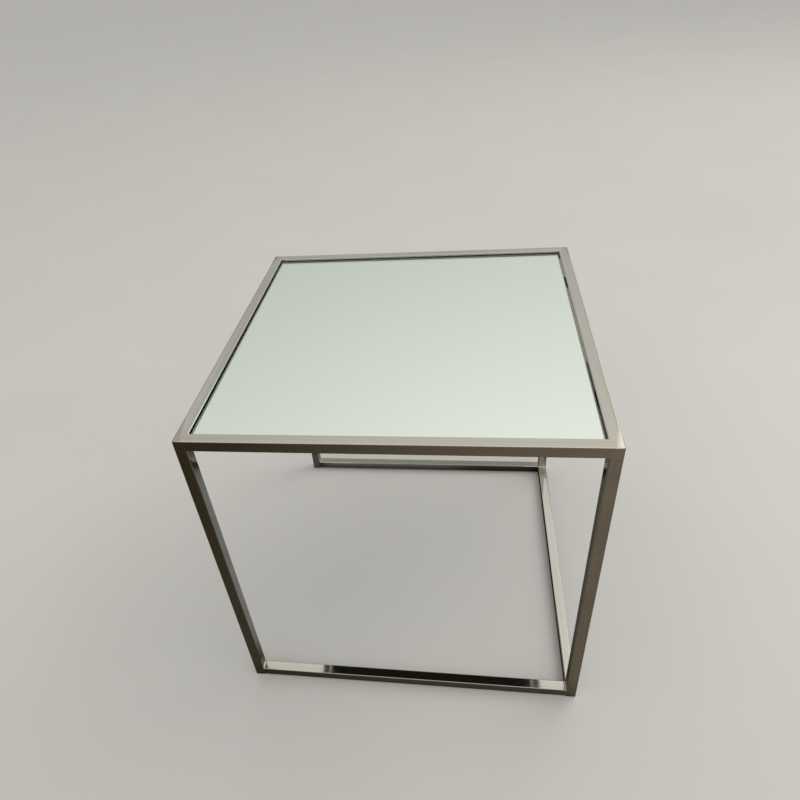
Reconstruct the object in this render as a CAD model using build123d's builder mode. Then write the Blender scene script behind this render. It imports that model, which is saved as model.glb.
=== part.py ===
from build123d import *
import os

# Cube side table. Eleven lengths of thin square tube are welded into the edges of a
# cube. The left side has no tube at the floor, so the foot of a sofa or a smaller
# table slides in there. A mirror, taped to a thin board, lies loose in the top frame
# on eight small lugs and lifts straight out.
#
# Millimetres. The origin is on the floor at the middle of the table, with +X to the
# right, +Y to the back and +Z up. The open side faces -X.

# Overall size
width = 400.0
depth = 400.0
height = 400.0

# Square tube of the frame
tube = 12.0
tube_wall = 1.0
tube_corner = 1.0

# Plastic glide pushed into the lower end of each leg
glide_flange = 1.0
glide_insert = 14.0
glide_clearance = 0.1
glide_core = 7.0
fin_thickness = 1.2
fin_pitch = 3.4
fin_count = 3

# Lugs welded inside the top frame, two on each rail, with a soft pad on each
lug_width = 25.0
lug_reach = 14.0
lug_thickness = 2.0
lug_corner = 3.0
lug_from_corner = 80.0
pad_diameter = 8.0
pad_thickness = 1.0
pad_from_tip = 5.5
pad_edge = 0.25

# Loose top panel: mirror glass, strips of double-sided tape, backing board
panel_gap = 1.25
glass_thickness = 3.0
glass_arris = 0.4
glass_dubbed_corner = 1.0
tape_thickness = 0.5
tape_width = 20.0
tape_from_edge = 12.0
tape_count = 5
board_thickness = 3.0
board_inset = 1.0
board_edge = 0.3

# Inside corner of a weld, dressed to this radius
weld_radius = 2.0

# Heights that follow
leg_low = glide_flange
rail_low = height - tube
lug_low = rail_low
pad_low = lug_low + lug_thickness
board_low = pad_low + pad_thickness
tape_low = board_low + board_thickness
glass_low = tape_low + tape_thickness
glass_top = glass_low + glass_thickness
mirror_recess = height - glass_top

# Plan sizes that follow
bore = tube - 2 * tube_wall
panel_width = width - 2 * tube - 2 * panel_gap
panel_depth = depth - 2 * tube - 2 * panel_gap
weld_length = tube - 2 * tube_corner

UP = Vector(0, 0, 1)

# The four corners, as the signs of X and Y
corners = {
    "front_left": (-1, -1),
    "front_right": (1, -1),
    "back_right": (1, 1),
    "back_left": (-1, 1),
}

# Each side of the square in turn, from one corner to the next
sides = {
    "front": ("front_left", "front_right"),
    "right": ("front_right", "back_right"),
    "back": ("back_right", "back_left"),
    "left": ("back_left", "front_left"),
}

# The left side is left open at the floor
floor_sides = ["front", "right", "back"]


def at_corner(corner, inset, z):
    """A point as far in from both outer faces as inset, at one corner."""
    sign_x, sign_y = corners[corner]
    return Vector(sign_x * (width / 2 - inset), sign_y * (depth / 2 - inset), z)


def along(side):
    """Unit vector along a side. Its right-hand normal in plan points outward."""
    start, end = (corners[corner] for corner in sides[side])
    return Vector((end[0] - start[0]) / 2, (end[1] - start[1]) / 2, 0)


def outward(side):
    """Unit vector out of the table, square to a side."""
    return along(side).cross(UP)


def finish(piece, name):
    """Label a finished piece and write it to its own file."""
    piece.part.label = name
    export_step(piece.part, f"parts/{name}.step")
    print(f"{name}: {piece.part.volume:.1f} mm3")


os.makedirs("parts", exist_ok=True)


# Top frame: a square ring of tube, cut on its four mitres into the rails
with BuildPart() as top_frame:
    with BuildSketch(Plane.XY.offset(rail_low)):
        Rectangle(width, depth)
        Rectangle(width - 2 * tube, depth - 2 * tube, mode=Mode.SUBTRACT)
    extrude(amount=tube)
    uprights = top_frame.edges().filter_by(Axis.Z)
    inner_uprights = uprights.sort_by_distance(Vector(0, 0, height))[:4]
    fillet(top_frame.edges() - inner_uprights, radius=tube_corner)
    solid_frame = top_frame.part
    with BuildSketch(Plane.XY.offset(rail_low + tube_wall)):
        Rectangle(width - 2 * tube_wall, depth - 2 * tube_wall)
        inner_wall = 2 * (tube - tube_wall)
        Rectangle(width - inner_wall, depth - inner_wall, mode=Mode.SUBTRACT)
    extrude(amount=bore, mode=Mode.SUBTRACT)


def make_top_rail(side):
    start, end = sides[side]
    with BuildPart() as rail:
        add(top_frame.part)
        for corner, inner in ((start, along(side)), (end, -along(side))):
            mitre = Plane(origin=at_corner(corner, 0, 0), z_dir=inner + outward(side))
            split(bisect_by=mitre, keep=Keep.TOP)
    return rail


for side in sides:
    finish(make_top_rail(side), f"top_rail_{side}")


# Legs: square-cut tubes that stand on their glides and carry the top frame
def make_leg(corner):
    with BuildPart() as leg:
        with BuildSketch(Plane(origin=at_corner(corner, tube / 2, leg_low))):
            RectangleRounded(tube, tube, tube_corner)
            Rectangle(bore, bore, mode=Mode.SUBTRACT)
        extrude(amount=rail_low - leg_low)
    return leg


for corner in corners:
    finish(make_leg(corner), f"leg_{corner}")


# Floor rails: square-cut tubes between the legs, flush with their lower ends
def floor_rail_end(side, end):
    """Where a floor rail's centre line meets a leg. end is 0 or 1."""
    sense = 1 - 2 * end
    centre = at_corner(sides[side][end], tube / 2, leg_low + tube / 2)
    return centre + along(side) * (sense * tube / 2)


def make_floor_rail(side):
    first = floor_rail_end(side, 0)
    last = floor_rail_end(side, 1)
    with BuildPart() as rail:
        with BuildSketch(Plane(origin=first, x_dir=UP, z_dir=along(side))):
            RectangleRounded(tube, tube, tube_corner)
            Rectangle(bore, bore, mode=Mode.SUBTRACT)
        extrude(amount=(last - first).length)
    return rail


for side in floor_sides:
    finish(make_floor_rail(side), f"floor_rail_{side}")


# Glides: a flange the size of the tube under a core with thin fins inside it
def make_glide(corner):
    fin = bore - 2 * glide_clearance
    with BuildPart() as glide:
        with BuildSketch(Plane(origin=at_corner(corner, tube / 2, 0))):
            RectangleRounded(tube, tube, tube_corner)
        extrude(amount=glide_flange)
        with BuildSketch(Plane(origin=at_corner(corner, tube / 2, glide_flange))):
            Rectangle(glide_core, glide_core)
        extrude(amount=glide_insert)
        for n in range(fin_count):
            fin_low = glide_flange + fin_pitch * (n + 1)
            with BuildSketch(Plane(origin=at_corner(corner, tube / 2, fin_low))):
                Rectangle(fin, fin)
            extrude(amount=fin_thickness)
    return glide


for corner in corners:
    finish(make_glide(corner), f"glide_{corner}")


# Lugs and pads. A lug is a flat tab flush with the underside of its rail, with its
# two free corners rounded. The seat plane has X along the rail and Y to the inside.
def lug_seat(side, end, z):
    """Plane on a rail's inner face, at one of the rail's two lugs. end is 0 or 1."""
    sense = 1 - 2 * end
    corner = at_corner(sides[side][end], 0, z)
    place = corner + along(side) * (sense * lug_from_corner) - outward(side) * tube
    return Plane(origin=place, x_dir=along(side), z_dir=UP)


def make_lug(side, end):
    with BuildPart() as lug:
        with BuildSketch(lug_seat(side, end, lug_low)) as tab:
            with Locations((0, lug_reach / 2)):
                Rectangle(lug_width, lug_reach)
            fillet(tab.vertices().group_by(Axis.Y)[-1], radius=lug_corner)
        extrude(amount=lug_thickness)
    return lug


def make_pad(side, end):
    with BuildPart() as pad:
        with BuildSketch(lug_seat(side, end, pad_low)):
            with Locations((0, lug_reach - pad_from_tip)):
                Circle(pad_diameter / 2)
        extrude(amount=pad_thickness)
        chamfer(pad.edges().group_by(Axis.Z)[-1], length=pad_edge)
    return pad


for side in sides:
    for end in (0, 1):
        finish(make_lug(side, end), f"lug_{side}_{end + 1}")
        finish(make_pad(side, end), f"pad_{side}_{end + 1}")

# Mirror glass: corners dubbed off and all edges seamed
with BuildPart() as mirror_glass:
    with BuildSketch(Plane.XY.offset(glass_low)) as glass_outline:
        Rectangle(panel_width, panel_depth)
        chamfer(glass_outline.vertices(), length=glass_dubbed_corner)
    extrude(amount=glass_thickness)
    glass_edges = mirror_glass.edges().group_by(Axis.Z)
    chamfer(glass_edges[0] + glass_edges[-1], length=glass_arris)
finish(mirror_glass, "mirror_glass")

# Tape strips from front to back between the glass and the board
with BuildPart() as mirror_tape:
    tape_span = panel_width - 2 * tape_from_edge - tape_width
    with BuildSketch(Plane.XY.offset(tape_low)):
        with GridLocations(tape_span / (tape_count - 1), 0, tape_count, 1):
            Rectangle(tape_width, panel_depth - 2 * tape_from_edge)
    extrude(amount=tape_thickness)
finish(mirror_tape, "mirror_tape")

# Backing board: a little smaller than the glass, so that its edge stays out of sight
with BuildPart() as backing_board:
    with BuildSketch(Plane.XY.offset(board_low)):
        Rectangle(panel_width - 2 * board_inset, panel_depth - 2 * board_inset)
    extrude(amount=board_thickness)
    chamfer(backing_board.edges().group_by(Axis.Z)[0], length=board_edge)
finish(backing_board, "backing_board")


# Welds. Where a square-cut end meets a tube with rounded corners, weld metal fills the
# groove flush, and the open inside corner has a bead dressed to weld_radius.
def sketch_bead(origin, x_dir, z_dir):
    """Concave bead section: it grows along x_dir and along z_dir x x_dir."""
    with BuildSketch(Plane(origin=origin, x_dir=x_dir, z_dir=z_dir)) as section:
        Rectangle(weld_radius, weld_radius, align=Align.MIN)
        with Locations((weld_radius, weld_radius)):
            Circle(weld_radius, mode=Mode.SUBTRACT)
    return section.sketch


# The heads of the legs: one corner is made, and mirrored to the other three
with BuildPart() as leg_head_welds:
    leg_head = at_corner("front_left", tube / 2, rail_low)
    inside_band = tube - 2 * tube_corner
    with BuildSketch(Plane(origin=leg_head)):
        RectangleRounded(tube, tube, tube_corner)
        with Locations((tube_corner, tube_corner)):
            Rectangle(inside_band, inside_band, mode=Mode.SUBTRACT)
    extrude(amount=tube_corner)
    add(solid_frame, mode=Mode.SUBTRACT)
    for inner in (along("front"), -along("left")):
        bead = sketch_bead(leg_head + inner * (tube / 2), inner, inner.cross(-UP))
        extrude(bead, amount=weld_length / 2, both=True)
    mirror(about=Plane.YZ)
    mirror(about=Plane.XZ)
finish(leg_head_welds, "leg_head_welds")


def make_groove_fill(side, end):
    """Weld metal between the end of a floor rail and the rounded corners of its leg."""
    leg_axis = at_corner(sides[side][end], tube / 2, 0)
    inner = along(side) * (1 - 2 * end)
    with BuildPart() as fill:
        with BuildSketch(Plane(origin=floor_rail_end(side, end), x_dir=UP, z_dir=-inner)):
            RectangleRounded(tube, tube, tube_corner)
        extrude(amount=tube_corner)
        with BuildSketch(Plane(origin=leg_axis)):
            RectangleRounded(tube, tube, tube_corner)
        extrude(amount=leg_low + 2 * tube, mode=Mode.SUBTRACT)
    return fill


with BuildPart() as floor_rail_welds:
    for side in floor_sides:
        for end in (0, 1):
            add(make_groove_fill(side, end).part)
            inner = along(side) * (1 - 2 * end)
            top_of_rail = floor_rail_end(side, end) + UP * (tube / 2)
            bead = sketch_bead(top_of_rail, inner, inner.cross(UP))
            extrude(bead, amount=weld_length / 2, both=True)
finish(floor_rail_welds, "floor_rail_welds")

# The lugs: a groove under the end of each, along the lower edge of its rail
with BuildPart() as lug_welds:
    for side in sides:
        for end in (0, 1):
            with BuildSketch(lug_seat(side, end, lug_low)):
                with Locations((0, -tube_corner / 2)):
                    Rectangle(lug_width, tube_corner)
            extrude(amount=tube_corner)
    add(solid_frame, mode=Mode.SUBTRACT)
finish(lug_welds, "lug_welds")

print(f"mirror lies {mirror_recess:.2f} mm below the top of the frame")
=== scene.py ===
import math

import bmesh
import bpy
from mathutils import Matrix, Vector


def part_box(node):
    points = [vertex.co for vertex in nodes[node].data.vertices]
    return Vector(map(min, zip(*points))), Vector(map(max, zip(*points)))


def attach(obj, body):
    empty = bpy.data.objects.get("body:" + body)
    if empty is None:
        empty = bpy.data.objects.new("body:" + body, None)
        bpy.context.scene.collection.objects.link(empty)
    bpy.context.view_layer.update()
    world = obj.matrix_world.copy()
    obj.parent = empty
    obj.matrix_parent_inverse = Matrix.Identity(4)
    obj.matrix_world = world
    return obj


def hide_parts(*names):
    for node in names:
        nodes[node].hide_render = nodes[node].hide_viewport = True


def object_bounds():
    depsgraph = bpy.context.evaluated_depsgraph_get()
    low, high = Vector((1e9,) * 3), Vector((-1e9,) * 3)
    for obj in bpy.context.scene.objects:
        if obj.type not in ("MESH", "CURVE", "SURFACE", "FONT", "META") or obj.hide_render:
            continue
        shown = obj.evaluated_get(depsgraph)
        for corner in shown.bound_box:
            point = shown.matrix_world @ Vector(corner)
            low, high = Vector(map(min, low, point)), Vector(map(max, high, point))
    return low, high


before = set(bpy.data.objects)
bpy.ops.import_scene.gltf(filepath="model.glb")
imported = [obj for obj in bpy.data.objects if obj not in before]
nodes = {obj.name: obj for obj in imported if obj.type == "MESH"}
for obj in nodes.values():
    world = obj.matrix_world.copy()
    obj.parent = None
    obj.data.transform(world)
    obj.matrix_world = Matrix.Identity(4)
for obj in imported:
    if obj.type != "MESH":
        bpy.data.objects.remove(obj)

# %% [markdown]
# # A mirror-topped cube table
#
# This lesson dresses a finished CAD model of a small side table. The table is a cube
# drawn with thin square tube, and a loose mirror lies in its top. The CAD parts keep
# their places and sizes. What is added here is what a workshop adds last: polish,
# ground welds, glass, plastic and light.
#
# Lengths are metres. X runs to the right, Y to the back and Z up. The origin is on the
# floor under the middle of the table.

MM = 0.001
cad_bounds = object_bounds()
low, high = (Vector(corner) for corner in cad_bounds)
half_width = (high.x - low.x) / 2
half_depth = (high.y - low.y) / 2
table_height = high.z

rail_low, rail_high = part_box("top_rail_front")
tube = rail_high.z - rail_low.z
glass_low, glass_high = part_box("mirror_glass")
_, foot_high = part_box("floor_rail_front")
print(f"table {2 * half_width:.3f} x {2 * half_depth:.3f} x {table_height:.3f} m")
print(f"tube {tube / MM:.1f} mm, mirror {(table_height - glass_high.z) / MM:.1f} mm down")

# %% [markdown]
# ## Writing a material as a sum
#
# A material is a graph of small steps. Wiring each Math node by hand hides the idea,
# so a number in the graph is wrapped in a class whose operators add the nodes:
# `0.2 + 0.1 * grain` reads as it does on paper. Only numbers work this way. A Math node
# would turn a colour grey, so colours go through a Mix node.


# %% A number in a material
class Signal:
    """A number on its way through a material."""

    def __init__(self, finish, socket):
        self.finish = finish
        self.socket = socket

    def math(self, operation, first, second=None):
        inputs = {0: first} if second is None else {0: first, 1: second}
        return self.finish.add("ShaderNodeMath", {"operation": operation}, inputs)

    def __add__(self, other):
        return self.math("ADD", self, other)

    def __sub__(self, other):
        return self.math("SUBTRACT", self, other)

    def __rsub__(self, other):
        return self.math("SUBTRACT", other, self)

    def __mul__(self, other):
        return self.math("MULTIPLY", self, other)

    def __truediv__(self, other):
        return self.math("DIVIDE", self, other)

    def __rtruediv__(self, other):
        return self.math("DIVIDE", other, self)

    def __abs__(self):
        return self.math("ABSOLUTE", self)

    __radd__ = __add__
    __rmul__ = __mul__

    def least(self, other):
        return self.math("MINIMUM", self, other)

    def most(self, other):
        return self.math("MAXIMUM", self, other)

    def fade(self, start, end):
        """0 before start, 1 after end, with a soft step between them."""
        inputs = {"Value": self, "From Min": start, "From Max": end}
        settings = {"interpolation_type": "SMOOTHSTEP"}
        return self.finish.add("ShaderNodeMapRange", settings, inputs)


# %% [markdown]
# ## One class for a finish
#
# Each finish of the table is one Principled shader with a few inputs that change over
# the surface. `add` makes any node from its type, its settings and its inputs, in that
# order, because some settings change which sockets a node has. What is the same all
# over a surface is set straight on the shader.


# %% A finish and its nodes
class Finish:
    """A material: one Principled shader and the nodes that feed it."""

    def __init__(self, name, constants):
        self.material = bpy.data.materials.new(name)
        self.material.use_nodes = True
        self.tree = self.material.node_tree
        self.tree.nodes.clear()
        self.shader = self.tree.nodes.new("ShaderNodeBsdfPrincipled")
        output = self.tree.nodes.new("ShaderNodeOutputMaterial")
        self.tree.links.new(self.shader.outputs[0], output.inputs["Surface"])
        for socket, value in constants.items():
            self.shader.inputs[socket].default_value = value

    def add(self, kind, settings=None, inputs=None, output=0):
        node = self.tree.nodes.new(kind)
        for name, value in (settings or {}).items():
            setattr(node, name, value)
        for socket, value in (inputs or {}).items():
            self.plug(node.inputs[socket], value)
        return Signal(self, node.outputs[output])

    def plug(self, socket, value):
        if isinstance(value, Signal):
            self.tree.links.new(value.socket, socket)
        else:
            socket.default_value = value

    def feed(self, socket, value):
        self.plug(self.shader.inputs[socket], value)

    def place(self):
        return self.add("ShaderNodeTexCoord", output="Object")

    def split(self, vector):
        node = self.add("ShaderNodeSeparateXYZ", inputs={0: vector}).socket.node
        return [Signal(self, socket) for socket in node.outputs]

    def noise(self, vector, scale, detail=2.0, roughness=0.5):
        """Noise from 0 to 1. scale is how many bumps a metre, along X, Y and Z."""
        mapping = {"Vector": vector, "Scale": scale}
        stretched = self.add("ShaderNodeMapping", inputs=mapping)
        shape = {"Scale": 1.0, "Detail": detail, "Roughness": roughness}
        return self.add("ShaderNodeTexNoise", inputs={"Vector": stretched, **shape})

    def mix(self, factor, first, second):
        """A colour between two others."""
        inputs = {0: factor, 6: first, 7: second}
        return self.add("ShaderNodeMix", {"data_type": "RGBA"}, inputs, output=2)

    def relief(self, height):
        """Turn a height in millimetres into a normal."""
        inputs = {"Height": height, "Strength": 1.0, "Distance": MM}
        self.feed("Normal", self.add("ShaderNodeBump", inputs=inputs))


# %% [markdown]
# ## Polished square tube
#
# The tube is stainless steel, polished on a long belt. The belt leaves fine lines that
# run the length of the tube, so one finish can't serve every tube: the lines turn with
# it. Noise squeezed hard across the tube and hardly at all along it makes such lines.
# It goes mostly into the roughness, because that is what a polished line changes, and
# a little into the colour and the height.
#
# Near a welded corner the maker has gone over the weld by hand with a small disc. The
# metal is duller there, the lines lose their direction, and the heat leaves a faint
# straw tint.

# %% Where the tubes are ground at their welds
HAND_GROUND = 13 * MM
GROUND_FADE = 12 * MM
FOOT_GROUND = 26 * MM
HEAD_SHARE = 0.2
inner_x = half_width - tube
inner_y = half_depth - tube


def ground_zone(run, x, y, z):
    """1 at the welded ends of a tube, fading to 0 along it. run is its axis."""
    if run == "Z":
        head = (rail_low.z - z).fade(HAND_GROUND, 0.3 * HAND_GROUND)
        foot = (z - foot_high.z).fade(FOOT_GROUND, 0.5 * FOOT_GROUND)
        inward = (inner_x - abs(x)).most(inner_y - abs(y)).fade(-0.3 * MM, -0.1 * MM)
        return (HEAD_SHARE * head).most(foot) * inward
    from_end = half_width - abs(x) if run == "X" else half_depth - abs(y)
    return from_end.fade(HAND_GROUND + GROUND_FADE, HAND_GROUND)


# %% [markdown]
# The same disc has rounded over the left and right edges of the top where they come to
# a corner. The rounding is widest at the corner and runs out along the edge, so it
# catches the window as a bright wedge. It is only a height in the material: nothing
# where the disc first touched, and steeper towards the edge.

# %% Edges rounded over by hand beside the corners
DUBBED_WIDTH = 8.5 * MM
DUBBED_LENGTH = 44 * MM
DUBBED_SLOPE = 0.32
DUBBED_START_MM = 1.6
DUBBED_RADIUS_MM = 60.0


def dubbed_edge(x, y):
    """How far the disc has cut the left and right edges down at the corners, in mm."""
    from_edge = half_width - abs(x)
    from_end = half_depth - abs(y)
    width = (1 - from_end / DUBBED_LENGTH).most(0.0) * DUBBED_WIDTH
    cut = (width - from_edge).most(0.0) / MM
    return cut * cut * (DUBBED_SLOPE / (cut + DUBBED_START_MM) + 0.5 / DUBBED_RADIUS_MM)


# %% [markdown]
# Four noises make the tube's surface: fine lines, the wider bands they come in, slow
# waves left by the belt, and clouds of uneven polish. The first three are given as
# bumps a metre lengthwise and across.

# %% The finish of a tube
STEEL = (0.60, 0.58, 0.52, 1.0)
STEEL_DULL = (0.51, 0.485, 0.425, 1.0)
STRAW = (0.60, 0.50, 0.40, 1.0)
LINES = (5.0, 1600.0)
BANDS = (3.0, 300.0)
WAVES = (9.0, 60.0)
LINE_HEIGHT_MM = 0.0006
SCUFF_HEIGHT_MM = 0.003
WAVE_HEIGHT_MM = 0.22
POLISH = 0.03
DULLING = {"X": 0.10, "Y": 0.10, "Z": 0.34}


def scale_along(run, lengthwise, across):
    """Noise scale for marks that run along one axis."""
    return tuple(lengthwise if axis == run else across for axis in "XYZ")


def polished_tube(run):
    finish = Finish(f"polished_tube_{run.lower()}", {"Metallic": 1.0})
    place = finish.place()
    x, y, z = finish.split(place)
    lines = finish.noise(place, scale_along(run, *LINES), detail=3.0)
    bands = finish.noise(place, scale_along(run, *BANDS), detail=2.0)
    waves = finish.noise(place, scale_along(run, *WAVES), detail=1.0)
    clouds = finish.noise(place, (22.0, 22.0, 22.0), detail=3.0)
    scuffs = finish.noise(place, (900.0, 900.0, 900.0), detail=3.0)
    ground = ground_zone(run, x, y, z) * (0.5 + clouds)

    wear = (0.5 * lines + 0.5 * bands).fade(0.35, 0.65)
    colour = finish.mix(wear, STEEL, STEEL_DULL)
    finish.feed("Base Color", finish.mix(0.4 * ground * clouds, colour, STRAW))
    polish = POLISH + 0.045 * wear + 0.02 * clouds
    finish.feed("Roughness", polish + DULLING[run] * ground * (0.4 + 1.2 * scuffs))
    relief = LINE_HEIGHT_MM * lines + SCUFF_HEIGHT_MM * ground * scuffs
    relief = relief + WAVE_HEIGHT_MM * waves
    if run != "Z":
        relief = relief - dubbed_edge(x, y)
    finish.relief(relief)
    return finish.material


# %% Tubes in their finish
RUNS = {
    "X": ["top_rail_front", "top_rail_back", "floor_rail_front", "floor_rail_back"],
    "Y": ["top_rail_left", "top_rail_right", "floor_rail_right"],
    "Z": ["leg_front_left", "leg_front_right", "leg_back_left", "leg_back_right"],
}


def dress(names, material):
    for name in names:
        nodes[name].material_slots[0].material = material


for run, names in RUNS.items():
    dress(names, polished_tube(run))
    print(f"polished along {run}: {', '.join(names)}")

# %% [markdown]
# ## Ground welds and lugs
#
# Weld metal is ground flush and then polished with the rest. It is the same steel with
# no rolled surface, so it has a cross-hatch of disc marks and no lines of its own.
# The lugs under the mirror were never polished. Flat bar comes from the mill with a
# dull skin, and the torch leaves straw and blue bands beside the weld.


# %% Weld metal
def ground_weld():
    finish = Finish("ground_weld", {"Metallic": 1.0})
    place = finish.place()
    marks = finish.noise(place, (1400.0, 1400.0, 500.0), detail=4.0)
    pools = finish.noise(place, (260.0, 260.0, 260.0), detail=2.0)
    finish.feed("Base Color", finish.mix(pools.fade(0.4, 0.7), STEEL, STRAW))
    finish.feed("Roughness", 0.18 + 0.16 * marks)
    finish.relief(0.02 * marks + 0.04 * pools)
    return finish.material


welds = [name for name in nodes if name.endswith("_welds")]
dress(welds, ground_weld())
print(f"ground by hand: {', '.join(welds)}")


# %% Mill-finish lugs
BLUED = (0.30, 0.34, 0.42, 1.0)
MILL = (0.48, 0.48, 0.46, 1.0)
HEAT_BAND = 5 * MM


def mill_flat_bar():
    finish = Finish("mill_flat_bar", {"Metallic": 1.0})
    place = finish.place()
    x, y, _ = finish.split(place)
    from_rail = (inner_x - abs(x)).least(inner_y - abs(y))
    skin = finish.noise(place, (420.0, 420.0, 420.0), detail=4.0)
    wobble = from_rail + 2 * MM * skin
    straw = wobble.fade(2 * HEAT_BAND, 0.6 * HEAT_BAND)
    blue = wobble.fade(HEAT_BAND, 0.3 * HEAT_BAND)
    colour = finish.mix(0.7 * straw, MILL, STRAW)
    finish.feed("Base Color", finish.mix(0.6 * blue, colour, BLUED))
    finish.feed("Roughness", 0.34 + 0.2 * skin)
    finish.relief(0.03 * skin)
    return finish.material


lugs = [name for name in nodes if name.startswith("lug_") and name != "lug_welds"]
dress(lugs, mill_flat_bar())
print(f"{len(lugs)} lugs in mill finish")

# %% [markdown]
# ## The mirror
#
# A mirror is a sheet of float glass with silver and paint on its back. Light goes down
# through 3 mm of glass, turns at the silver and comes up again, so the picture in it
# starts below the surface and looks a little green. Painting a flat face silver would
# lose that, and the rail round it would be mirrored in the wrong place. So this sheet
# is clear glass with four more surfaces: the silver at its back, the dark paint that
# protects it, the seamed arris where a belt took the sharp edge off, and the sawn
# edge. They are slots of one mesh, and each face gets its slot by where it points.


# %% Glass finishes
GLASS_TINTS = (0.925, 0.99, 0.915, 1), (0.935, 0.985, 0.925, 1)
SILVER_TINTS = (0.935, 0.955, 0.925, 1), (0.945, 0.96, 0.935, 1)
SEAM_TINTS = (0.30, 0.36, 0.33, 1), (0.46, 0.52, 0.48, 1)
EDGE_TINTS = (0.012, 0.040, 0.030, 1), (0.04, 0.11, 0.085, 1)
PAINT_TINTS = (0.020, 0.024, 0.024, 1), (0.032, 0.036, 0.036, 1)


def clear_glass():
    finish = Finish("clear_glass", {"IOR": 1.52, "Transmission Weight": 1.0})
    place = finish.place()
    wipes = finish.noise(place, (14.0, 5.0, 1.0), detail=3.0, roughness=0.6)
    specks = finish.noise(place, (700.0, 700.0, 1.0), detail=1.0)
    finish.feed("Base Color", finish.mix(wipes, *GLASS_TINTS))
    smears = 0.012 * wipes.fade(0.45, 0.75)
    finish.feed("Roughness", smears + 0.05 * specks.fade(0.74, 0.80))
    return finish.material


def silver_layer():
    finish = Finish("silver_layer", {"Metallic": 1.0})
    clouds = finish.noise(finish.place(), (9.0, 9.0, 9.0), detail=2.0)
    finish.feed("Base Color", finish.mix(clouds, *SILVER_TINTS))
    finish.feed("Roughness", 0.004 + 0.004 * clouds)
    return finish.material


def seamed_arris():
    finish = Finish("seamed_arris", {"IOR": 1.52})
    place = finish.place()
    grit = finish.noise(place, (2500.0, 2500.0, 2500.0), detail=2.0)
    finish.feed("Base Color", finish.mix(grit, *SEAM_TINTS))
    finish.feed("Roughness", 0.35 + 0.3 * grit)
    finish.relief(0.02 * grit)
    return finish.material


def sawn_edge():
    finish = Finish("sawn_edge", {"IOR": 1.52})
    place = finish.place()
    _, _, z = finish.split(place)
    ripple = finish.noise(place, (500.0, 500.0, 90.0), detail=2.0)
    depth = ((z - glass_low.z) / (glass_high.z - glass_low.z)).fade(0.0, 1.0)
    finish.feed("Base Color", finish.mix(0.7 * depth + 0.3 * ripple, *EDGE_TINTS))
    finish.feed("Roughness", 0.10 + 0.12 * ripple)
    finish.relief(0.03 * ripple)
    return finish.material


def back_paint():
    finish = Finish("back_paint", {"IOR": 1.5})
    place = finish.place()
    orange_peel = finish.noise(place, (500.0, 500.0, 500.0), detail=2.0)
    finish.feed("Base Color", finish.mix(orange_peel, *PAINT_TINTS))
    finish.feed("Roughness", 0.45 + 0.15 * orange_peel)
    finish.relief(0.03 * orange_peel)
    return finish.material


# %% [markdown]
# ## Making pieces
#
# A new piece is drawn in a bmesh, in metres and in its final place, and then handed
# over with its body, the CAD nodes it stands in for and its material slot. Two boxes
# joined in one mesh are enough for the mirror: the glass, and the paint behind it.

# %% Helpers for pieces
FLAT = 0.99


def new_piece(name, mesh_builder, body, replaced):
    """Turn a bmesh into a piece that rides on a body in place of some CAD nodes."""
    mesh = bpy.data.meshes.new(name)
    mesh_builder.to_mesh(mesh)
    mesh_builder.free()
    piece = bpy.data.objects.new(name, mesh)
    bpy.context.scene.collection.objects.link(piece)
    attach(piece, body)
    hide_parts(*replaced)
    return piece


def block(low_corner, high_corner):
    """A bmesh box between two corners."""
    shape = bmesh.new()
    size = high_corner - low_corner
    centre = (high_corner + low_corner) / 2
    place = Matrix.Translation(centre) @ Matrix.Diagonal((*size, 1.0))
    bmesh.ops.create_cube(shape, size=1.0, matrix=place)
    return shape


def join(shape, other):
    """Add another bmesh to shape."""
    mesh = bpy.data.meshes.new("joined")
    other.to_mesh(mesh)
    other.free()
    shape.from_mesh(mesh)
    bpy.data.meshes.remove(mesh)


def round_edges(shape, edges, radius, segments):
    """Bevel some edges of a bmesh."""
    bmesh.ops.bevel(
        shape, geom=edges, offset=radius, offset_type="OFFSET", segments=segments,
        profile=0.5, affect="EDGES", material=-1,
    )
    shape.normal_update()


def upright_edges(shape):
    """The edges of a box that run up and down."""
    return [
        edge for edge in shape.edges
        if abs(edge.verts[0].co.z - edge.verts[1].co.z) > 0.001 * MM
    ]


def rim_edges(shape):
    """The edges round the flat top and bottom of a shape."""
    shape.normal_update()
    flats = [face for face in shape.faces if abs(face.normal.z) > FLAT]
    return [edge for face in flats for edge in face.edges]


# %% The sheet of glass
DUBBED_CORNER = 1.0 * MM
ARRIS = 0.4 * MM
PAINT = 0.06 * MM
PAINT_GAP = 0.2 * PAINT
FACE, SILVER, SEAM, EDGE, BACK = range(5)
UPRIGHT = 0.1

glass = block(glass_low + Vector((0, 0, PAINT)), glass_high)
round_edges(glass, upright_edges(glass), DUBBED_CORNER, 1)
round_edges(glass, rim_edges(glass), ARRIS, 1)
for face in glass.faces:
    tilt = face.normal.z
    if abs(tilt) > FLAT:
        face.material_index = FACE if tilt > 0 else SILVER
    else:
        face.material_index = EDGE if abs(tilt) < UPRIGHT else SEAM

# The paint stops just short of the silver, so that the two faces can't coincide.
margin = Vector((ARRIS, ARRIS, 0))
paint_top = Vector((*glass_high.xy, glass_low.z + PAINT - PAINT_GAP))
paint = block(glass_low + margin, paint_top - margin)
round_edges(paint, upright_edges(paint), DUBBED_CORNER - ARRIS, 1)
for face in paint.faces:
    face.material_index = BACK
join(glass, paint)
mirror_plate = new_piece(
    "mirror_plate", glass, "mirror_panel", ["mirror_glass"],
)
for finish_maker in (clear_glass, silver_layer, seamed_arris, sawn_edge, back_paint):
    mirror_plate.data.materials.append(finish_maker())
print(f"mirror plate: {len(mirror_plate.data.polygons)} faces in 5 finishes")

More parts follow.
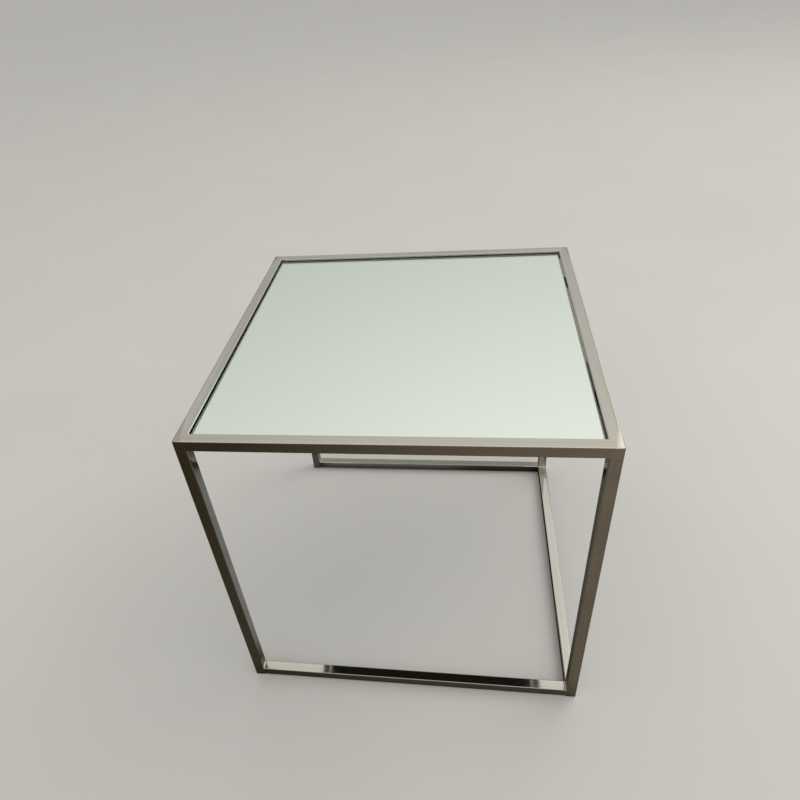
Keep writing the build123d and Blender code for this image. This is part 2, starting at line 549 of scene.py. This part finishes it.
# %% [markdown]
# ## Board and tape under the glass
#
# The board is thin hardboard with a black lacquered face. Nobody looks at it, except
# in the polished rail on the floor, which mirrors it as a long dark bar. Its sawn edge
# is fibrous and browner than its face. The foam tape is cream, with fine cells.


# %% Board and tape finishes
LACQUER_TINTS = (0.010, 0.012, 0.011, 1), (0.020, 0.022, 0.021, 1)
FIBRE_TINTS = (0.035, 0.022, 0.014, 1), (0.09, 0.06, 0.04, 1)
FOAM_TINTS = (0.70, 0.68, 0.62, 1), (0.85, 0.84, 0.80, 1)
SAWN_DEPTH = 0.4 * MM


def black_hardboard():
    finish = Finish("black_hardboard", {"IOR": 1.48, "Specular IOR Level": 0.35})
    place = finish.place()
    x, y, _ = finish.split(place)
    _, board_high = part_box("backing_board")
    past_face = abs(x).most(abs(y)) - (board_high.x - SAWN_DEPTH)
    at_edge = past_face.fade(0.0, 0.3 * MM)
    fibres = finish.noise(place, (240.0, 240.0, 1500.0), detail=4.0)
    lacquer = finish.noise(place, (60.0, 60.0, 60.0), detail=3.0)
    black = finish.mix(lacquer, *LACQUER_TINTS)
    brown = finish.mix(fibres, *FIBRE_TINTS)
    finish.feed("Base Color", finish.mix(at_edge, black, brown))
    finish.feed("Roughness", 0.42 + 0.2 * lacquer + 0.3 * at_edge)
    finish.relief(0.04 * lacquer + 0.03 * fibres)
    return finish.material


def foam_tape():
    finish = Finish("foam_tape", {"IOR": 1.45})
    place = finish.place()
    cells = finish.noise(place, (1800.0, 1800.0, 1800.0), detail=2.0)
    finish.feed("Base Color", finish.mix(cells, *FOAM_TINTS))
    finish.feed("Roughness", 0.75 + 0.2 * cells)
    finish.relief(0.05 * cells)
    return finish.material


dress(["backing_board"], black_hardboard())
dress(["mirror_tape"], foam_tape())

# %% [markdown]
# ## Soft pads
#
# Each lug carries a clear stick-on bumper. The CAD disc only gives its place. A real
# one is a low dome, and under the weight of the mirror it is squashed flat on top and
# bulges at its side. Half its outline is spun round an upright axis, which is how such
# round things are best made.

# %% Bumpers by spinning
BUMPER_STEPS = 32
BULGE_STEPS = 6
FLAT_SHARE = 0.74
BUMPER_TINTS = (0.78, 0.80, 0.78, 1), (0.90, 0.91, 0.89, 1)


def clear_bumper():
    finish = Finish("clear_bumper", {"IOR": 1.41, "Transmission Weight": 0.55})
    place = finish.place()
    haze = finish.noise(place, (600.0, 600.0, 600.0), detail=2.0)
    finish.feed("Base Color", finish.mix(haze, *BUMPER_TINTS))
    finish.feed("Roughness", 0.18 + 0.2 * haze)
    finish.relief(0.01 * haze)
    return finish.material


def spun(outline, centre, steps):
    """Spin (radius, height) points that start and end on the axis into a closed shape."""
    shape = bmesh.new()
    points = [shape.verts.new((radius, 0.0, height)) for radius, height in outline]
    profile = [shape.edges.new(pair) for pair in zip(points, points[1:])]
    bmesh.ops.spin(
        shape, geom=points + profile, cent=(0, 0, 0), axis=(0, 0, 1),
        angle=2 * math.pi, steps=steps, use_merge=True,
    )
    bmesh.ops.remove_doubles(shape, verts=shape.verts, dist=0.001 * MM)
    bmesh.ops.recalc_face_normals(shape, faces=shape.faces)
    bmesh.ops.translate(shape, verts=shape.verts, vec=centre)
    return shape


def bumper_outline(radius, height):
    """A squashed dome: flat below, a bulging side, flat on top."""
    top_radius = FLAT_SHARE * radius
    bulge = radius - top_radius
    side = []
    for step in range(BULGE_STEPS + 1):
        turn = math.pi / 2 * step / BULGE_STEPS
        side.append((top_radius + bulge * math.cos(turn), height * math.sin(turn)))
    return [(0.0, 0.0)] + side + [(0.0, height)]


bumper_material = clear_bumper()
pads = [name for name in nodes if name.startswith("pad_")]
for name in pads:
    pad_low, pad_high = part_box(name)
    centre = (pad_low + pad_high) / 2
    centre.z = pad_low.z
    radius = (pad_high.x - pad_low.x) / 2
    outline = bumper_outline(radius, pad_high.z - pad_low.z)
    shape = spun(outline, centre, BUMPER_STEPS)
    for face in shape.faces:
        face.smooth = abs(face.normal.z) < FLAT
    place_name = name.removeprefix("pad_")
    bumper = new_piece(f"bumper_{place_name}", shape, "frame", [name])
    bumper.data.materials.append(bumper_material)
print(f"{len(pads)} bumpers, {len(bumper.data.polygons)} faces each")

# %% [markdown]
# ## Glides
#
# The open lower end of each leg is closed by a push-in glide. From below it shows a
# rounded flange with a shallow panel, the witness mark of the mould gate in its
# middle, and the scuffs of being dragged. Inside the tube is a cross-shaped core under
# thin fins that grip the wall. The parts of a glide are separate shells in one mesh,
# sunk a little into each other, as they'd be sketched before being melted together.

# %% Glide plastic
PLASTIC_TINTS = (0.020, 0.020, 0.021, 1), (0.035, 0.035, 0.036, 1)
SCUFFED = (0.12, 0.115, 0.11, 1)


def glide_plastic():
    finish = Finish("glide_plastic", {"IOR": 1.49})
    place = finish.place()
    _, _, z = finish.split(place)
    spark = finish.noise(place, (1500.0, 1500.0, 1500.0), detail=3.0)
    drag = finish.noise(place, (90.0, 1400.0, 90.0), detail=3.0)
    underside = z.fade(0.35 * MM, 0.05 * MM)
    scuffed = underside * drag.fade(0.5, 0.68)
    colour = finish.mix(spark, *PLASTIC_TINTS)
    finish.feed("Base Color", finish.mix(scuffed, colour, SCUFFED))
    finish.feed("Roughness", 0.42 + 0.2 * spark + 0.15 * scuffed)
    finish.relief(0.02 * spark + 0.02 * scuffed)
    return finish.material


# %% Glides by bevel, inset and spin
FLANGE = 1.0 * MM
CORNER_RADIUS = 1.0 * MM
SOLE_ROUNDING = 0.3 * MM
SOLE_BORDER = 2.2 * MM
SOLE_DEPTH = 0.25 * MM
GATE_OUTLINE_MM = [(0.0, 0.05), (0.5, 0.05), (0.8, 0.15), (0.8, 0.4), (0.0, 0.4)]
GATE_STEPS = 20
RIB = 1.4 * MM
RIB_LOW = 0.8 * FLANGE
CORE = 3.5 * MM
FINS = 3
FIN = 1.2 * MM
FIN_PITCH = 3.4 * MM
FIN_REACH = 4.9 * MM
FIN_ROUNDING = 0.25 * FIN


def around(centre, half_x, half_y, bottom, top):
    """A box round an upright axis."""
    low_corner = Vector((centre.x - half_x, centre.y - half_y, bottom))
    high_corner = Vector((centre.x + half_x, centre.y + half_y, top))
    return block(low_corner, high_corner)


def flange_with_sole(centre, half):
    """The flange, with its lower edge rounded and a shallow panel sunk in its sole."""
    shape = around(centre, half, half, 0.0, FLANGE)
    round_edges(shape, upright_edges(shape), CORNER_RADIUS, 5)
    shape.normal_update()
    sole = min(shape.faces, key=lambda face: face.normal.z)
    round_edges(shape, list(sole.edges), SOLE_ROUNDING, 3)
    shape.normal_update()
    sole = min(shape.faces, key=lambda face: face.normal.z)
    bmesh.ops.inset_region(
        shape, faces=[sole], thickness=SOLE_BORDER, use_even_offset=True,
    )
    bmesh.ops.inset_region(
        shape, faces=[sole], thickness=SOLE_DEPTH, depth=-SOLE_DEPTH,
    )
    return shape


def gate_mark(centre):
    """The small nub where the plastic entered the mould, inside the sole's panel."""
    outline = [(radius * MM, height * MM) for radius, height in GATE_OUTLINE_MM]
    return spun(outline, Vector((centre.x, centre.y, 0.0)), GATE_STEPS)


glide_material = glide_plastic()
for name in [name for name in nodes if name.startswith("glide_")]:
    glide_low, glide_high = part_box(name)
    centre = (glide_low + glide_high) / 2
    half = (glide_high.x - glide_low.x) / 2
    glide = flange_with_sole(centre, half)
    join(glide, gate_mark(centre))
    join(glide, around(centre, CORE, RIB / 2, RIB_LOW, glide_high.z))
    join(glide, around(centre, RIB / 2, CORE, RIB_LOW, glide_high.z))
    for number in range(1, FINS + 1):
        bottom = FLANGE + number * FIN_PITCH
        fin = around(centre, FIN_REACH, FIN_REACH, bottom, bottom + FIN)
        round_edges(fin, rim_edges(fin), FIN_ROUNDING, 2)
        join(glide, fin)
    piece = new_piece(f"moulded_{name}", glide, "frame", [name])
    piece.data.materials.append(glide_material)
    print(f"{piece.name}: {len(piece.data.polygons)} faces")

# %% [markdown]
# ## The stage
#
# Polished metal has no look of its own: it shows what is round it. So the stage is
# built for the reflections first. The camera sees a plain pale floor, and reflections
# see another one just over it, with light and shade painted into it. That one has the
# dark brown of a laminate floor, with painted shade at the front left and painted light
# that brightens it to the right, where the window is; behind the table it turns a
# painted grey sheen. Painted shadows darken it where the tubes come close to it.
#
# The pale floor is clear from below, so that the table can be looked at from there.

# %% Parts of the stage
FLOOR_SIZE = 60.0
REFLECTED_FLOOR_HEIGHT = 0.2 * MM


def stage_piece(name, shape, material):
    """Turn a bmesh into a part of the stage."""
    mesh = bpy.data.meshes.new(name)
    shape.to_mesh(mesh)
    shape.free()
    mesh.materials.append(material)
    piece = bpy.data.objects.new(name, mesh)
    bpy.context.scene.collection.objects.link(piece)
    return piece


def floor_sheet(name, height, material):
    shape = bmesh.new()
    bmesh.ops.create_grid(shape, x_segments=1, y_segments=1, size=FLOOR_SIZE / 2)
    bmesh.ops.translate(shape, verts=shape.verts, vec=(0, 0, height))
    return stage_piece(name, shape, material)


def only_reflected(piece):
    """Hide a part of the stage from everything but reflections."""
    piece.visible_camera = False
    piece.visible_diffuse = False
    piece.visible_shadow = False
    piece.visible_transmission = False


def one_sided(finish):
    """Make the back of a face clear."""
    finish.feed("Alpha", 1 - finish.add("ShaderNodeNewGeometry", output="Backfacing"))


# %% The floor that the camera sees
PALE_TINTS = (0.60, 0.585, 0.56, 1), (0.64, 0.625, 0.60, 1)


def pale_floor():
    finish = Finish("pale_floor", {"Roughness": 0.55, "Specular IOR Level": 0.3})
    plaster = finish.noise(finish.place(), (3.0, 3.0, 3.0), detail=3.0)
    finish.feed("Base Color", finish.mix(plaster, *PALE_TINTS))
    one_sided(finish)
    return finish.material


seen_floor = floor_sheet("pale_floor", 0.0, pale_floor())
seen_floor.visible_glossy = False

# %% The floor that reflections see
# Front tints: painted shade at the front left, painted light towards the window on the
# right.
FRONT_SHADE_TO_LIGHT_TINTS = (0.048, 0.036, 0.020, 1), (0.26, 0.23, 0.185, 1)
# Rear tints: a painted grey sheen under the table, and painted shade round it.
REAR_SHEEN_AND_SHADE_TINTS = (0.40, 0.405, 0.43, 1), (0.05, 0.045, 0.04, 1)
PLANK_DARK = (0.05, 0.04, 0.03, 1)
# Painted contact shadow where the tubes come close to the reflected floor.
CONTACT_SHADOW_TINT = (0.02, 0.016, 0.012, 1)
CONTACT_SHADOW_REACH = 34 * MM
RIGHTWARD = (-0.5, 0.45)
FRONT_TO_REAR = (-0.22, -0.12)
SHEEN_LEFT, SHEEN_RIGHT, SHEEN_BACK = (-0.16, -0.21), (0.0, 0.10), (0.17, 0.24)


# A floor that only reflections see: laminate brown and plank grain, with painted light and
# shade.
def floor_with_painted_shade():
    finish = Finish("floor_with_painted_shade", {"Roughness": 0.9, "Specular IOR Level": 0.0})
    place = finish.place()
    x, y, _ = finish.split(place)
    planks = finish.noise(place, (2.0, 30.0, 1.0), detail=4.0)
    # Painted shade at the front left, painted light towards the right.
    front = finish.mix(x.fade(*RIGHTWARD), *FRONT_SHADE_TO_LIGHT_TINTS)
    # A painted grey sheen under the table, with painted shade beyond it.
    past_painted_sheen = x.fade(*SHEEN_RIGHT).most(x.fade(*SHEEN_LEFT)).most(y.fade(*SHEEN_BACK))
    rear = finish.mix(0.85 * past_painted_sheen, *REAR_SHEEN_AND_SHADE_TINTS)
    painted_light_tone = finish.mix(y.fade(*FRONT_TO_REAR), front, rear)
    grain = finish.mix(0.45 * planks, painted_light_tone, PLANK_DARK)
    # Painted contact shadow near the tubes, stronger inside the frame.
    inward = (half_width - tube / 2) - abs(x).most(abs(y))
    contact_shadow = abs(inward).fade(CONTACT_SHADOW_REACH, 0.0) * (0.4 + 0.4 * inward.fade(0.0, 2 * MM))
    finish.feed("Base Color", finish.mix(contact_shadow, grain, CONTACT_SHADOW_TINT))
    return finish.material


only_reflected(floor_sheet("floor_with_painted_shade", REFLECTED_FLOOR_HEIGHT, floor_with_painted_shade()))
print(f"two floors of {FLOOR_SIZE:.0f} m, {REFLECTED_FLOOR_HEIGHT / MM:.1f} mm apart")

# %% [markdown]
# ## Cards for the reflections
#
# Three upright cards, which only reflections see, put painted light and shade into what
# the steel shows. A dark cloth in front of the table is painted shade: the inner face of
# the back rail shows it by way of the mirror, and it gives the mirror its thin dark line
# at the far edge. A low pale wall behind the table is painted shade for the tops of the
# floor rails: it is duller than the sky it hides. A glowing pane on the right, in place
# of the window, is a painted highlight in the rounded corner; it is no lamp and lights
# nothing.
# The cloth and the pane thin out to nothing at their edges, because a hard edge would
# show in the mirror.

# %% Cards
CARD_DEPTH = 0.01
SOFT_EDGE = 0.3
FLAG_ACROSS, FLAG_UPWARD, FLAG_Y = (-1.05, 0.62), (0.72, 1.62), -1.5
WALL_ACROSS, WALL_UPWARD, WALL_Y = (-0.7, 0.6), (0.0, 0.36), 0.52
SHADE_CLOTH_TINTS = (0.02, 0.02, 0.02, 1), (0.05, 0.045, 0.04, 1)
SHADED_WALL_TINTS = (0.58, 0.58, 0.545, 1), (0.64, 0.64, 0.605, 1)


def upright_card(name, across, front, upward, material):
    """A thin upright sheet that only reflections see."""
    low_corner = Vector((across[0], front, upward[0]))
    high_corner = Vector((across[1], front + CARD_DEPTH, upward[1]))
    card = stage_piece(name, block(low_corner, high_corner), material)
    only_reflected(card)
    return card


# Painted shade: a dark sheet that only reflections see, in place of the dim room in front
# of the table.
def shade_cloth():
    finish = Finish("shade_cloth", {"Roughness": 0.95, "Specular IOR Level": 0.0})
    place = finish.place()
    x, _, z = finish.split(place)
    weave = finish.noise(place, (300.0, 300.0, 300.0))
    finish.feed("Base Color", finish.mix(weave, *SHADE_CLOTH_TINTS))
    from_sides = (x - FLAG_ACROSS[0]).least(FLAG_ACROSS[1] - x)
    from_ends = (z - FLAG_UPWARD[0]).least(FLAG_UPWARD[1] - z)
    finish.feed("Alpha", from_sides.fade(0.0, SOFT_EDGE) * from_ends.fade(0.0, SOFT_EDGE))
    return finish.material


# Painted shade: a wall that only reflections see, duller than the sky it hides, for the
# shaded foot of the wall.
def shaded_low_wall():
    finish = Finish("shaded_low_wall", {"Roughness": 0.9, "Specular IOR Level": 0.0})
    plaster = finish.noise(finish.place(), (4.0, 4.0, 4.0), detail=3.0)
    finish.feed("Base Color", finish.mix(plaster, *SHADED_WALL_TINTS))
    one_sided(finish)
    return finish.material


upright_card("shade_flag", FLAG_ACROSS, FLAG_Y, FLAG_UPWARD, shade_cloth())
upright_card("shaded_low_wall", WALL_ACROSS, WALL_Y, WALL_UPWARD, shaded_low_wall())

# %% The glowing pane, a painted highlight in place of the window
PANE_GLOW = 1.85
PANE_TURN = math.radians(-50)
PANE_PLACE = Vector((1.22, 1.0, 0.10))
PANE_WIDTH, PANE_HEIGHT = 0.85, 1.25
PANE_SIDE_FADE, PANE_TOP_FADE = 0.2, 0.5
PANE_TINTS = (0.90, 0.94, 0.96, 1), (1.0, 1.0, 1.0, 1)


def glowing_highlight_pane():
    constants = {
        "Base Color": (0, 0, 0, 1),
        "Emission Strength": PANE_GLOW,
        "Specular IOR Level": 0.0,
    }
    finish = Finish("glowing_highlight_pane", constants)
    place = finish.place()
    x, _, z = finish.split(place)
    curtain = finish.noise(place, (9.0, 9.0, 0.5), detail=2.0)
    from_middle = abs(x - PANE_PLACE.x) / math.cos(PANE_TURN)
    from_side = PANE_WIDTH / 2 - from_middle
    from_top = PANE_PLACE.z + PANE_HEIGHT - z
    # Painted highlight: the pane glows for reflections only and is no lamp.
    finish.feed("Emission Color", finish.mix(curtain, *PANE_TINTS))
    lit = from_side.fade(0.0, PANE_SIDE_FADE) * from_top.fade(0.0, PANE_TOP_FADE)
    finish.feed("Alpha", lit)
    return finish.material


pane_across = (PANE_PLACE.x - PANE_WIDTH / 2, PANE_PLACE.x + PANE_WIDTH / 2)
pane_upward = (PANE_PLACE.z, PANE_PLACE.z + PANE_HEIGHT)
pane_material = glowing_highlight_pane()
pane = upright_card("glowing_highlight_pane", pane_across, PANE_PLACE.y, pane_upward, pane_material)
to_place = Matrix.Translation(PANE_PLACE)
turn = Matrix.Rotation(PANE_TURN, 4, "Z")
pane.data.transform(to_place @ turn @ to_place.inverted())
pane_degrees = math.degrees(PANE_TURN)
print(f"pane {PANE_WIDTH} x {PANE_HEIGHT} m, turned {pane_degrees:.0f} degrees")

# %% [markdown]
# ## Light
#
# The room round the table is a soft sky: it brightens towards the ceiling and towards
# the window on the right. One large lamp on that side gives the shadows their
# direction. Reflections don't see the lamp; the glowing pane is a painted highlight in
# its place.


# %% The room as a world
class Sky(Finish):
    """A world with one Background shader."""

    def __init__(self, name):
        self.world = bpy.data.worlds.new(name)
        self.world.use_nodes = True
        self.tree = self.world.node_tree
        self.tree.nodes.clear()
        self.shader = self.tree.nodes.new("ShaderNodeBackground")
        output = self.tree.nodes.new("ShaderNodeOutputWorld")
        self.tree.links.new(self.shader.outputs[0], output.inputs["Surface"])


ROOM_LEVEL = 0.52
CEILING_GAIN = 0.32
WINDOW_SIDE_GAIN = 0.35
WINDOW_GAIN = 0.5
SKY_TINTS = (0.985, 1.0, 0.965, 1), (1.0, 0.99, 0.96, 1)

sky = Sky("pale_room")
direction = sky.add("ShaderNodeTexCoord", output="Generated")
east, _, up = sky.split(direction)
ceiling = CEILING_GAIN * up.fade(0.2, 1.0)
window_side = WINDOW_SIDE_GAIN * east.fade(-0.6, 0.6) * up.most(0.0)
glow = WINDOW_GAIN * east.fade(0.35, 1.0) * up.fade(-0.1, 0.5)
sky.feed("Color", sky.mix(up.fade(0.2, 0.8), *SKY_TINTS))
sky.feed("Strength", ROOM_LEVEL + ceiling + window_side + glow)
bpy.context.scene.world = sky.world

# %% The lamp
LAMP_PLACE = Vector((2.6, 1.9, 3.0))
LAMP_SIDE = 2.4
LAMP_POWER = 34.0
LAMP_COLOUR = (1.0, 0.985, 0.95)

lamp_data = bpy.data.lights.new("window", "AREA")
lamp_data.shape = "RECTANGLE"
lamp_data.size = LAMP_SIDE
lamp_data.size_y = LAMP_SIDE
lamp_data.energy = LAMP_POWER
lamp_data.color = LAMP_COLOUR
lamp = bpy.data.objects.new("window", lamp_data)
lamp.location = LAMP_PLACE
table_middle = Vector((0.0, 0.0, table_height / 2))
lamp.rotation_euler = (table_middle - LAMP_PLACE).to_track_quat("-Z", "Y").to_euler()
lamp.visible_glossy = False
bpy.context.scene.collection.objects.link(lamp)
print(f"lamp {(LAMP_PLACE - table_middle).length:.1f} m away")

# %% [markdown]
# ## The camera
#
# The view is from close by, a little to the right of the middle of the table, looking
# steeply down. A short lens up close makes the far edge clearly shorter than the near
# one. The shift slides the picture on its plane, so that no upright bends.

# %% Camera
LENS_MM = 28.366
SENSOR_MM = 36.0
CAMERA_SHIFT = (0.0395, -0.0012)
CAMERA_PLACE = (0.0705, -0.6107, 0.7634)
CAMERA_TURN = (53.032, 5.261, 7.247)

camera_data = bpy.data.cameras.new("camera")
camera_data.lens = LENS_MM
camera_data.sensor_width = SENSOR_MM
camera_data.shift_x, camera_data.shift_y = CAMERA_SHIFT
camera = bpy.data.objects.new("camera", camera_data)
camera.location = CAMERA_PLACE
camera.rotation_euler = [math.radians(angle) for angle in CAMERA_TURN]
bpy.context.scene.collection.objects.link(camera)
bpy.context.scene.camera = camera
bpy.context.scene.view_settings.view_transform = "Standard"
camera_reach = (Vector(CAMERA_PLACE) - table_middle).length
print(f"camera {camera_reach:.2f} m from the middle of the table")
